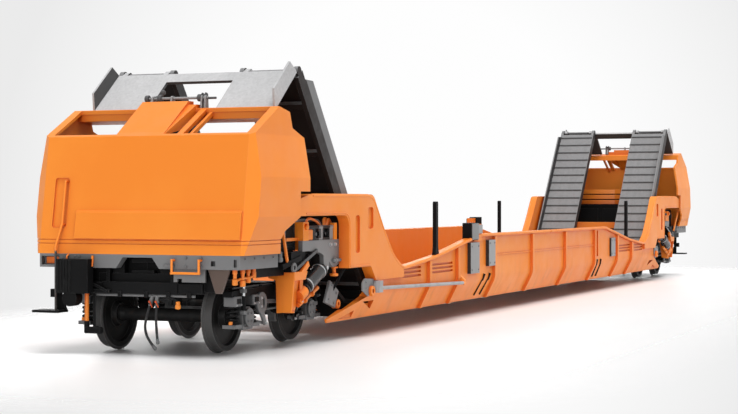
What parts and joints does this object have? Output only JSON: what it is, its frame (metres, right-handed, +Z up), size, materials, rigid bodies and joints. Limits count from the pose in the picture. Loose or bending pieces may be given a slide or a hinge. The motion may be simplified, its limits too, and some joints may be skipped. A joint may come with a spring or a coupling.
{
  "type": "low-floor rail car for road vehicles",
  "caption": "Low-floor freight car with a walled well between goosenecks, faceted end hoods, bogies and folding loading ramps at both ends.",
  "frame": {"origin": "on the floor under the middle of the car", "axes": "+X along the car to the far end, +Y across it, +Z up"},
  "size_m": [24.72, 3.096, 3.5833],
  "materials": {
    "orange_paint": "satin",
    "grey_steel": "satin",
    "dark_steel": "matte",
    "ramp_steel": "satin",
    "wheel_steel": "worn",
    "bright_steel": "satin",
    "hose_rubber": "matte"
  },
  "bodies": {
    "wheelset_1": {"axle_1": "wheel_steel", "wheels_1": "wheel_steel"},
    "wheelset_2": {"axle_2": "wheel_steel", "wheels_2": "wheel_steel"},
    "wheelset_3": {"axle_3": "wheel_steel", "wheels_3": "wheel_steel"},
    "wheelset_4": {"axle_4": "wheel_steel", "wheels_4": "wheel_steel"},
    "bogie_far": {"axle_boxes_far": "dark_steel", "bogie_frame_far": "dark_steel", "brake_rigging_far": "grey_steel", "springs_far": "dark_steel"},
    "bogie_near": {"axle_boxes_near": "dark_steel", "bogie_frame_near": "dark_steel", "brake_rigging_near": "grey_steel", "springs_near": "dark_steel"},
    "car": {"brake_boxes": "dark_steel", "brake_hose_bowed_far": "hose_rubber", "brake_hose_bowed_near": "hose_rubber", "brake_hose_straight_far": "hose_rubber", "brake_hose_straight_near": "hose_rubber", "brake_pipes": "grey_steel", "crossbeams": "orange_paint", "draw_gear_far": "dark_steel", "draw_gear_near": "dark_steel", "end_bulkheads": "dark_steel", "end_frame_far": "orange_paint", "end_frame_near": "orange_paint", "equipment_boxes": "dark_steel", "flap_shafts": "grey_steel", "footsteps": "dark_steel", "gooseneck_far": "orange_paint", "gooseneck_near": "orange_paint", "handrails": "orange_paint", "headstock_far": "grey_steel", "headstock_near": "grey_steel", "hood_far": "orange_paint", "hood_near": "orange_paint", "hose_head_bowed_far": "grey_steel", "hose_head_bowed_near": "grey_steel", "hose_head_straight_far": "grey_steel", "hose_head_straight_near": "grey_steel", "jack_cylinders": "bright_steel", "jacks_far": "orange_paint", "jacks_near": "orange_paint", "lock_brackets_far": "grey_steel", "lock_brackets_near": "grey_steel", "lock_plates": "grey_steel", "platform_floor": "orange_paint", "pull_rods": "bright_steel", "ramp_leaves_far": "ramp_steel", "ramp_leaves_near": "ramp_steel", "side_wall_left": "orange_paint", "side_wall_right": "orange_paint", "stakes": "dark_steel", "valve_gear": "grey_steel"},
    "flap_far": {"ramp_flap_far": "ramp_steel"},
    "flap_near": {"ramp_flap_near": "ramp_steel"}
  },
  "joints": [
    {"name": "bogie_near_swivel", "type": "hinge", "parent": "car", "child": "bogie_near", "pos_m": [-10.53, 0, 0.83], "axis": [0, 0, 1], "range_deg": [-8, 8]},
    {"name": "bogie_far_swivel", "type": "hinge", "parent": "car", "child": "bogie_far", "pos_m": [10.53, 0, 0.83], "axis": [0, 0, 1], "range_deg": [-8, 8]},
    {"name": "wheelset_1_turn", "type": "hinge", "parent": "bogie_near", "child": "wheelset_1", "pos_m": [-11.43, 0, 0.448], "axis": [0, 1, 0], "continuous": true},
    {"name": "wheelset_2_turn", "type": "hinge", "parent": "bogie_near", "child": "wheelset_2", "pos_m": [-9.63, 0, 0.448], "axis": [0, 1, 0], "continuous": true},
    {"name": "wheelset_3_turn", "type": "hinge", "parent": "bogie_far", "child": "wheelset_3", "pos_m": [9.63, 0, 0.448], "axis": [0, 1, 0], "continuous": true},
    {"name": "wheelset_4_turn", "type": "hinge", "parent": "bogie_far", "child": "wheelset_4", "pos_m": [11.43, 0, 0.448], "axis": [0, 1, 0], "continuous": true},
    {"name": "flap_near_unfold", "type": "hinge", "parent": "car", "child": "flap_near", "pos_m": [-10.38557, 0, 3.48], "axis": [0, 1, 0], "range_deg": [0, 91.2]},
    {"name": "flap_far_unfold", "type": "hinge", "parent": "car", "child": "flap_far", "pos_m": [10.38557, 0, 3.48], "axis": [0, -1, 0], "range_deg": [0, 91.2]}
  ]
}
